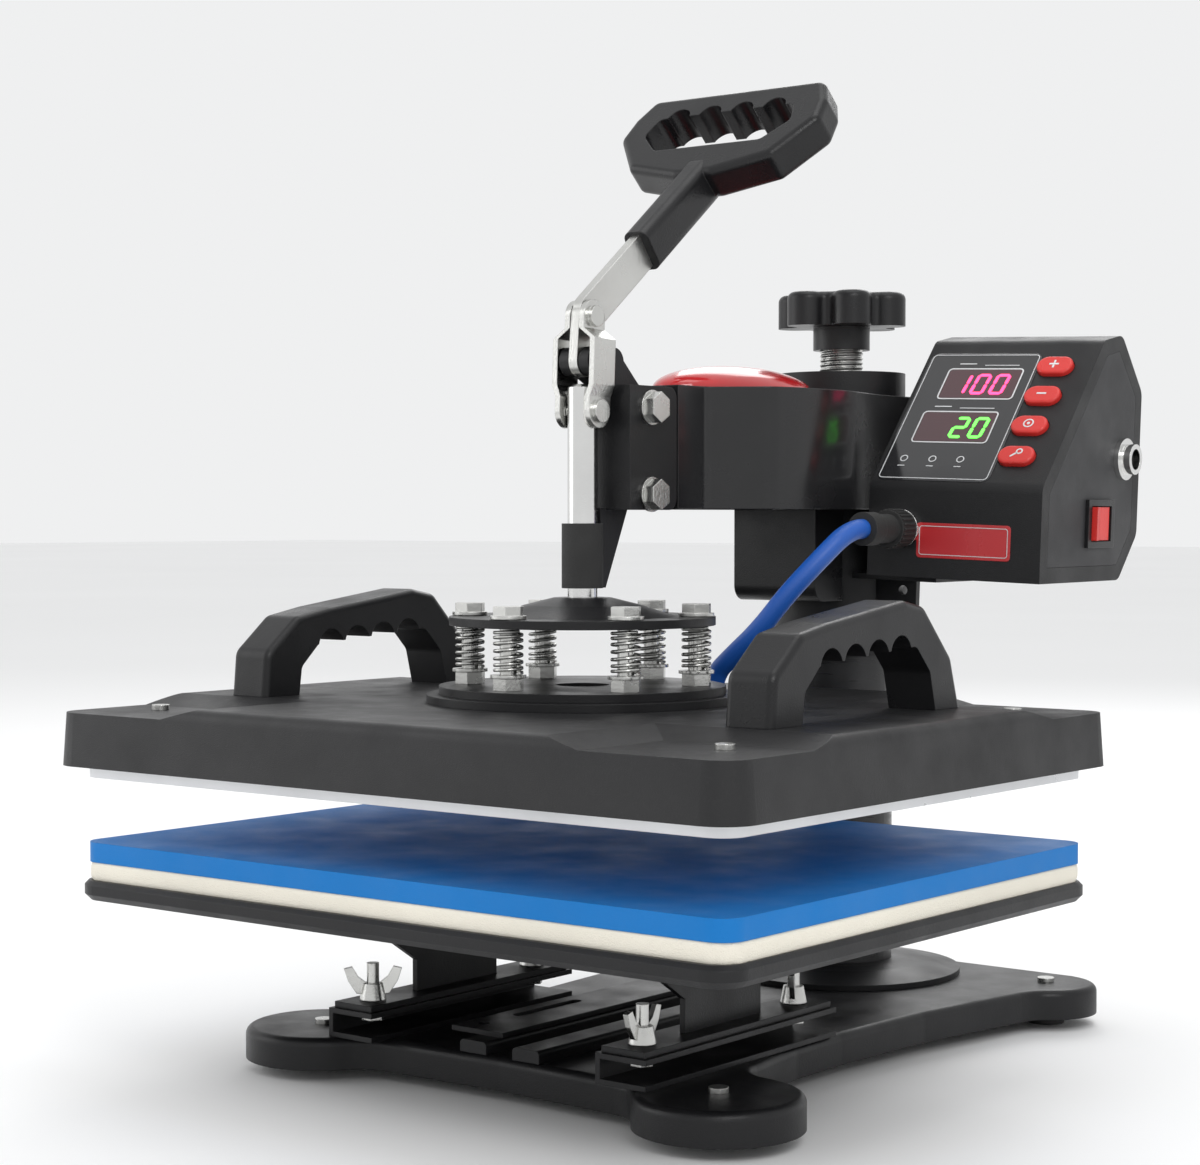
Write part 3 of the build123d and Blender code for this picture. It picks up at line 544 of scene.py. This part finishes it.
def digit_strokes(mark, left, foot):
    """The lit strokes of one seven-segment digit, leaning a little to the right."""
    x0, x1 = left, left + DIGIT_W
    y0, y1, y2 = foot, foot + DIGIT_H / 2, foot + DIGIT_H
    ends = {"a": ((x0, y2), (x1, y2)), "b": ((x1, y2), (x1, y1)), "c": ((x1, y1), (x1, y0)),
            "d": ((x1, y0), (x0, y0)), "e": ((x0, y0), (x0, y1)), "f": ((x0, y1), (x0, y2)),
            "g": ((x0, y1), (x1, y1))}
    return [[(x + DIGIT_LEAN * (y - y0), y) for x, y in ends[s]] for s in SEGMENTS[mark]]


def make_digits(name, text, at, look):
    bm = bmesh.new()
    for place, mark in enumerate(text):
        for p, q in digit_strokes(mark, at[0] + DIGIT_STEP * place, at[1]):
            add_prism(bm, bar(p, q, STROKE_W), 0.0, STROKE_T)
    fit(link_mesh(name, bm, on_panel(DIGIT_LIFT)), look, "arm")


# ---- buttons' marks ----
BUTTON_X, BUTTON_S, BUTTON_HEAD = 77.0, (83.0, 62.0, 41.0, 20.0), 2.95
BUTTON_BODIES = ("key_up", "key_down", "key_mode", "key_set")
BUTTON_MARKS = ("plus", "minus", "ring", "slant")


def symbol_prisms(bm, kind):
    """Plus, minus, ring or slanted mark, in the middle of a button."""
    if kind in ("plus", "minus"):
        add_prism(bm, rounded(5.4, 1.1, 0.3), 0.0, SYMBOL_T)
    if kind == "plus":
        add_prism(bm, rounded(1.1, 2.1, 0.3, (0, 1.7)), 0.0, SYMBOL_T)
        add_prism(bm, rounded(1.1, 2.1, 0.3, (0, -1.7)), 0.0, SYMBOL_T)
    if kind == "ring":
        add_ring(bm, circle(2.9), circle(2.1), 0.0, SYMBOL_T)
        add_prism(bm, circle(0.9, count=16), 0.0, SYMBOL_T)
    if kind == "slant":
        add_prism(bm, bar((-2.6, -2.2), (1.0, 1.0), 1.0), 0.0, SYMBOL_T)
        add_ring(bm, circle(1.9, (1.7, 1.6)), circle(1.1, (1.7, 1.6)), 0.0, SYMBOL_T)


def make_symbols():
    for body, s, kind in zip(BUTTON_BODIES, BUTTON_S, BUTTON_MARKS):
        bm = bmesh.new()
        symbol_prisms(bm, kind)
        place = on_panel() @ Matrix.Translation((BUTTON_X, s, BUTTON_HEAD))
        fit(link_mesh("mark_" + kind, bm, place), "print", body)


# ---- small visible trim ----
LABEL_AT, LABEL = (55.0, 19.5), (53.0, 18.0)
BORDER_OUTER, BORDER_INNER = (50.0, 15.0), (49.2, 14.2)


def make_label():
    """A blank red plate on the box's lower front, with a thin light border."""
    bm = bmesh.new()
    add_prism(bm, rounded(*LABEL, 2.0, LABEL_AT), 0.0, 0.3)
    fit(link_mesh("label_plate", bm, BOX_FRONT), "label", "arm")
    bm = bmesh.new()
    outer, inner = rounded(*BORDER_OUTER, 1.5, LABEL_AT), rounded(*BORDER_INNER, 1.1, LABEL_AT)
    add_ring(bm, outer, inner, 0.28, 0.4)
    fit(link_mesh("label_border", bm, BOX_FRONT), "print", "arm")


PLUG_R, RIDGE_R, RIDGE_COUNT = 9.5, 0.75, 24
RIDGE_SPAN = (4.0, 15.5)


def make_plug_ridges():
    """The moulded ridges round the lead's plug."""
    place = BOX @ Matrix.Translation((LEAD_AT[0], 0, LEAD_AT[1])) @ Matrix.Rotation(radians(90), 4, "X")
    bm = bmesh.new()
    for at in circle(PLUG_R, count=RIDGE_COUNT):
        add_prism(bm, circle(RIDGE_R, at, 8), *RIDGE_SPAN)
    ridges = link_mesh("plug_ridges", bm, place)
    smooth(ridges, 50)
    fit(ridges, "black_rubber", "arm")


SCREW_R, THREAD_DEPTH, PITCH, SCREW_CHAMFER = 12.0, 0.9, 2.5, 1.0
SCREW_ROWS, SCREW_AROUND = 160, 40


def make_screw():
    """The pressure screw with its thread, inside the plain CAD cylinder."""
    low, high = (c.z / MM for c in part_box("pressure_screw"))
    bm = bmesh.new()
    rings = []
    for k in range(SCREW_ROWS + 1):
        z = low + (high - low) * k / SCREW_ROWS
        chamfer = max(0.0, SCREW_CHAMFER - (z - low))
        ring = []
        for j in range(SCREW_AROUND):
            phase = (z / PITCH - j / SCREW_AROUND) % 1.0
            r = SCREW_R - THREAD_DEPTH * abs(2 * phase - 1) - chamfer
            a = 2 * pi * j / SCREW_AROUND
            ring.append(bm.verts.new((r * cos(a), r * sin(a) + POST_Y, z)))
        rings.append(ring)
    skin(bm, rings)
    screw = link_mesh("threaded_screw", bm)
    smooth(screw, 40)
    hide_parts("pressure_screw")
    fit(screw, "zinc", "knob")


# ---- stage ----
FLOOR_TONES = ((0.90, 0.90, 0.90), (0.92, 0.92, 0.92))
SKY, SKY_STRENGTH = (0.94, 0.945, 0.95), 0.92
LIGHTS = {  # place, width and watts
    "key": ((1.5, -1.2, 1.5), 0.9, 13),
    "fill": ((-1.8, -1.2, 0.9), 1.4, 8),
    "rim": ((-0.8, 1.8, 1.6), 1.2, 12),
    "top": ((0.2, 0.1, 2.2), 1.2, 7),
}
LIGHT_AIM = Vector((0, 0, 0.22))


def make_floor():
    bpy.ops.mesh.primitive_plane_add(size=40, location=(0, 0, -0.0005))
    floor = bpy.context.object
    floor.name = "floor"
    g = Graph("floor")
    light, lighter = [rgba(tone) for tone in FLOOR_TONES]
    g.set(g.shader.inputs["Base Color"], g.mix(g.span(g.noise(0.7, 3.0), 0.0, 1.0), light, lighter))
    g.set(g.shader.inputs["Roughness"], 0.75)
    floor.data.materials.append(g.material)


def make_sky():
    bpy.context.scene.view_settings.view_transform = "Standard"
    world = bpy.data.worlds.new("studio")
    bpy.context.scene.world = world
    world.use_nodes = True
    background = world.node_tree.nodes["Background"]
    background.inputs["Color"].default_value = rgba(SKY)
    background.inputs["Strength"].default_value = SKY_STRENGTH


def add_light(name, spot, size, power):
    data = bpy.data.lights.new(name, "AREA")
    data.size = size
    data.energy = power
    light = bpy.data.objects.new(name, data)
    bpy.context.collection.objects.link(light)
    light.location = spot
    light.rotation_euler = (LIGHT_AIM - Vector(spot)).to_track_quat("-Z", "Y").to_euler()


make_camera()
looks = make_materials()
make_lead()
paint_nodes()
make_springs()
make_foam()
make_frames()
make_readouts()
make_digits("digits_upper", "100", (23.5, 64.0), "red_light")
make_digits("digits_lower", "20", (33.5, 33.0), "green_light")
make_symbols()
make_label()
make_plug_ridges()
make_screw()
make_floor()
make_sky()
for light, settings in LIGHTS.items():
    add_light(light, *settings)
